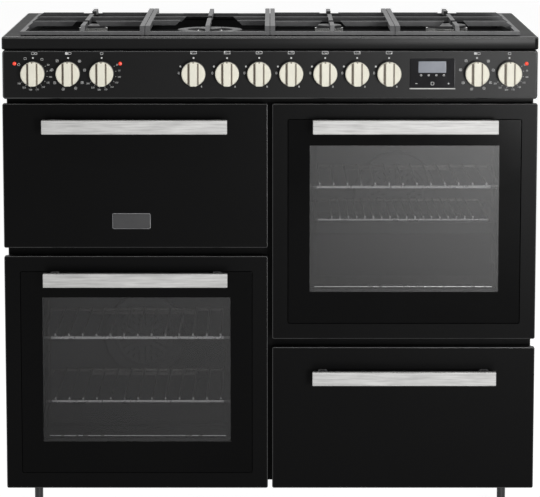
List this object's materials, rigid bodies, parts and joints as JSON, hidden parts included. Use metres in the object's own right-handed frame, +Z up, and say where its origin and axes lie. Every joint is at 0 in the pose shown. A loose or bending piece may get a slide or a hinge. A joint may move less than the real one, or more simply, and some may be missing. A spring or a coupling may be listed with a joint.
{
  "type": "range cooker with double oven",
  "caption": "Wide free-standing range cooker with two windowed fan ovens, a grill, a storage drawer, a gas hob with cast pan supports, and a panel of knobs with a timer.",
  "frame": {"origin": "middle of the footprint, on the floor", "axes": "+Z up, +X to the right of a person facing the cooker, front towards -Y"},
  "size_m": [1, 0.64, 0.938],
  "materials": {
    "black_steel": "gloss",
    "hob_enamel": "gloss",
    "door_liner": "satin",
    "door_glass": "gloss",
    "brushed_handle": "brushed",
    "galvanised_sheet": "satin",
    "cavity_enamel": "gloss",
    "chrome_wire": "polished",
    "seal_rubber": "matt",
    "hinge_steel": "satin",
    "foot_plastic": "matt",
    "element_sheath": "satin",
    "burner_alloy": "satin",
    "cap_enamel": "satin",
    "igniter_ceramic": "satin",
    "cast_grate": "satin enamel",
    "brass_gas": "satin",
    "timer_face": "gloss",
    "neon_red": "translucent",
    "ivory_knob": "satin"
  },
  "bodies": {
    "cooker": {"back_panel": "galvanised_sheet", "base_pan": "galvanised_sheet", "burner_caps": "cap_enamel", "burner_heads": "burner_alloy", "centre_divider": "galvanised_sheet", "control_panel": "black_steel", "door_hinges": "hinge_steel", "door_seals": "seal_rubber", "drawer_runners": "galvanised_sheet", "fan_covers": "cavity_enamel", "fan_motors": "galvanised_sheet", "front_frame": "black_steel", "gas_pipework": "brass_gas", "grill_cavity": "cavity_enamel", "heating_elements": "element_sheath", "hob_top": "hob_enamel", "igniters": "igniter_ceramic", "levelling_feet": "foot_plastic", "neon_lenses": "neon_red", "oven_cavity_left": "cavity_enamel", "oven_cavity_right": "cavity_enamel", "oven_shelves": "chrome_wire", "pans_and_trivet": "cavity_enamel", "side_panels": "black_steel", "side_racks": "chrome_wire", "taps_and_switches": "brass_gas", "terminal_box": "galvanised_sheet", "timer_module": "timer_face"},
    "left_oven_door": {"left_door_frame": "black_steel", "left_door_core": "door_liner", "left_door_glass": "door_glass", "left_door_handle": "brushed_handle"},
    "right_oven_door": {"right_door_frame": "black_steel", "right_door_core": "door_liner", "right_door_glass": "door_glass", "right_door_handle": "brushed_handle"},
    "grill_door": {"grill_door_panel": "black_steel", "grill_door_core": "door_liner", "grill_door_handle": "brushed_handle"},
    "storage_drawer": {"drawer_front": "black_steel", "drawer_box": "galvanised_sheet", "drawer_handle": "brushed_handle"},
    "knob_grill": {"knob_grill": "ivory_knob"},
    "knob_left_oven_mode": {"knob_left_oven_mode": "ivory_knob"},
    "knob_left_oven_heat": {"knob_left_oven_heat": "ivory_knob"},
    "knob_left_front": {"knob_left_front": "ivory_knob"},
    "knob_left_rear": {"knob_left_rear": "ivory_knob"},
    "knob_wok": {"knob_wok": "ivory_knob"},
    "knob_centre_rear": {"knob_centre_rear": "ivory_knob"},
    "knob_centre_front": {"knob_centre_front": "ivory_knob"},
    "knob_right_rear": {"knob_right_rear": "ivory_knob"},
    "knob_right_front": {"knob_right_front": "ivory_knob"},
    "knob_right_oven_mode": {"knob_right_oven_mode": "ivory_knob"},
    "knob_right_oven_heat": {"knob_right_oven_heat": "ivory_knob"},
    "pan_support_left": {"pan_support_left": "cast_grate"},
    "pan_support_wok": {"pan_support_wok": "cast_grate"},
    "pan_support_centre": {"pan_support_centre": "cast_grate"},
    "pan_support_right": {"pan_support_right": "cast_grate"},
    "fan_left": {"fan_blade_left": "hinge_steel"},
    "fan_right": {"fan_blade_right": "hinge_steel"}
  },
  "joints": [
    {"name": "left_oven_door_hinge", "type": "hinge", "parent": "cooker", "child": "left_oven_door", "pos_m": [-0.252, -0.255, 0.072], "axis": [1, 0, 0], "range_deg": [0, 90]},
    {"name": "right_oven_door_hinge", "type": "hinge", "parent": "cooker", "child": "right_oven_door", "pos_m": [0.252, -0.255, 0.36], "axis": [1, 0, 0], "range_deg": [0, 90]},
    {"name": "grill_door_hinge", "type": "hinge", "parent": "cooker", "child": "grill_door", "pos_m": [-0.252, -0.255, 0.534], "axis": [1, 0, 0], "range_deg": [0, 90]},
    {"name": "drawer_slide", "type": "slide", "parent": "cooker", "child": "storage_drawer", "axis": [0, -1, 0], "range_m": [0, 0.34]},
    {"name": "knob_grill_turn", "type": "hinge", "parent": "cooker", "child": "knob_grill", "pos_m": [-0.4416, -0.277, 0.8515], "axis": [0, 1, 0], "range_deg": [0, 270]},
    {"name": "knob_left_oven_mode_turn", "type": "hinge", "parent": "cooker", "child": "knob_left_oven_mode", "pos_m": [-0.376, -0.277, 0.8515], "axis": [0, 1, 0], "range_deg": [0, 300]},
    {"name": "knob_left_oven_heat_turn", "type": "hinge", "parent": "cooker", "child": "knob_left_oven_heat", "pos_m": [-0.3134, -0.277, 0.8515], "axis": [0, 1, 0], "range_deg": [0, 270]},
    {"name": "knob_left_front_turn", "type": "hinge", "parent": "cooker", "child": "knob_left_front", "pos_m": [-0.1424, -0.277, 0.8515], "axis": [0, -1, 0], "range_deg": [0, 210]},
    {"name": "knob_left_rear_turn", "type": "hinge", "parent": "cooker", "child": "knob_left_rear", "pos_m": [-0.0798, -0.277, 0.8515], "axis": [0, -1, 0], "range_deg": [0, 210]},
    {"name": "knob_wok_turn", "type": "hinge", "parent": "cooker", "child": "knob_wok", "pos_m": [-0.0201, -0.277, 0.8515], "axis": [0, -1, 0], "range_deg": [0, 210]},
    {"name": "knob_centre_rear_turn", "type": "hinge", "parent": "cooker", "child": "knob_centre_rear", "pos_m": [0.0395, -0.277, 0.8515], "axis": [0, -1, 0], "range_deg": [0, 210]},
    {"name": "knob_centre_front_turn", "type": "hinge", "parent": "cooker", "child": "knob_centre_front", "pos_m": [0.1028, -0.277, 0.8515], "axis": [0, -1, 0], "range_deg": [0, 210]},
    {"name": "knob_right_rear_turn", "type": "hinge", "parent": "cooker", "child": "knob_right_rear", "pos_m": [0.1623, -0.277, 0.8515], "axis": [0, -1, 0], "range_deg": [0, 210]},
    {"name": "knob_right_front_turn", "type": "hinge", "parent": "cooker", "child": "knob_right_front", "pos_m": [0.2218, -0.277, 0.8515], "axis": [0, -1, 0], "range_deg": [0, 210]},
    {"name": "knob_right_oven_mode_turn", "type": "hinge", "parent": "cooker", "child": "knob_right_oven_mode", "pos_m": [0.3855, -0.277, 0.8515], "axis": [0, 1, 0], "range_deg": [0, 300]},
    {"name": "knob_right_oven_heat_turn", "type": "hinge", "parent": "cooker", "child": "knob_right_oven_heat", "pos_m": [0.446, -0.277, 0.8515], "axis": [0, 1, 0], "range_deg": [0, 270]},
    {"name": "pan_support_left_lift", "type": "slide", "parent": "cooker", "child": "pan_support_left", "axis": [0, 0, 1], "range_m": [0, 0.12]},
    {"name": "pan_support_wok_lift", "type": "slide", "parent": "cooker", "child": "pan_support_wok", "axis": [0, 0, 1], "range_m": [0, 0.12]},
    {"name": "pan_support_centre_lift", "type": "slide", "parent": "cooker", "child": "pan_support_centre", "axis": [0, 0, 1], "range_m": [0, 0.12]},
    {"name": "pan_support_right_lift", "type": "slide", "parent": "cooker", "child": "pan_support_right", "axis": [0, 0, 1], "range_m": [0, 0.12]},
    {"name": "fan_left_spin", "type": "hinge", "parent": "cooker", "child": "fan_left", "pos_m": [-0.252, 0.1495, 0.2825], "axis": [0, 1, 0], "continuous": true},
    {"name": "fan_right_spin", "type": "hinge", "parent": "cooker", "child": "fan_right", "pos_m": [0.252, 0.1495, 0.5705], "axis": [0, 1, 0], "continuous": true}
  ]
}
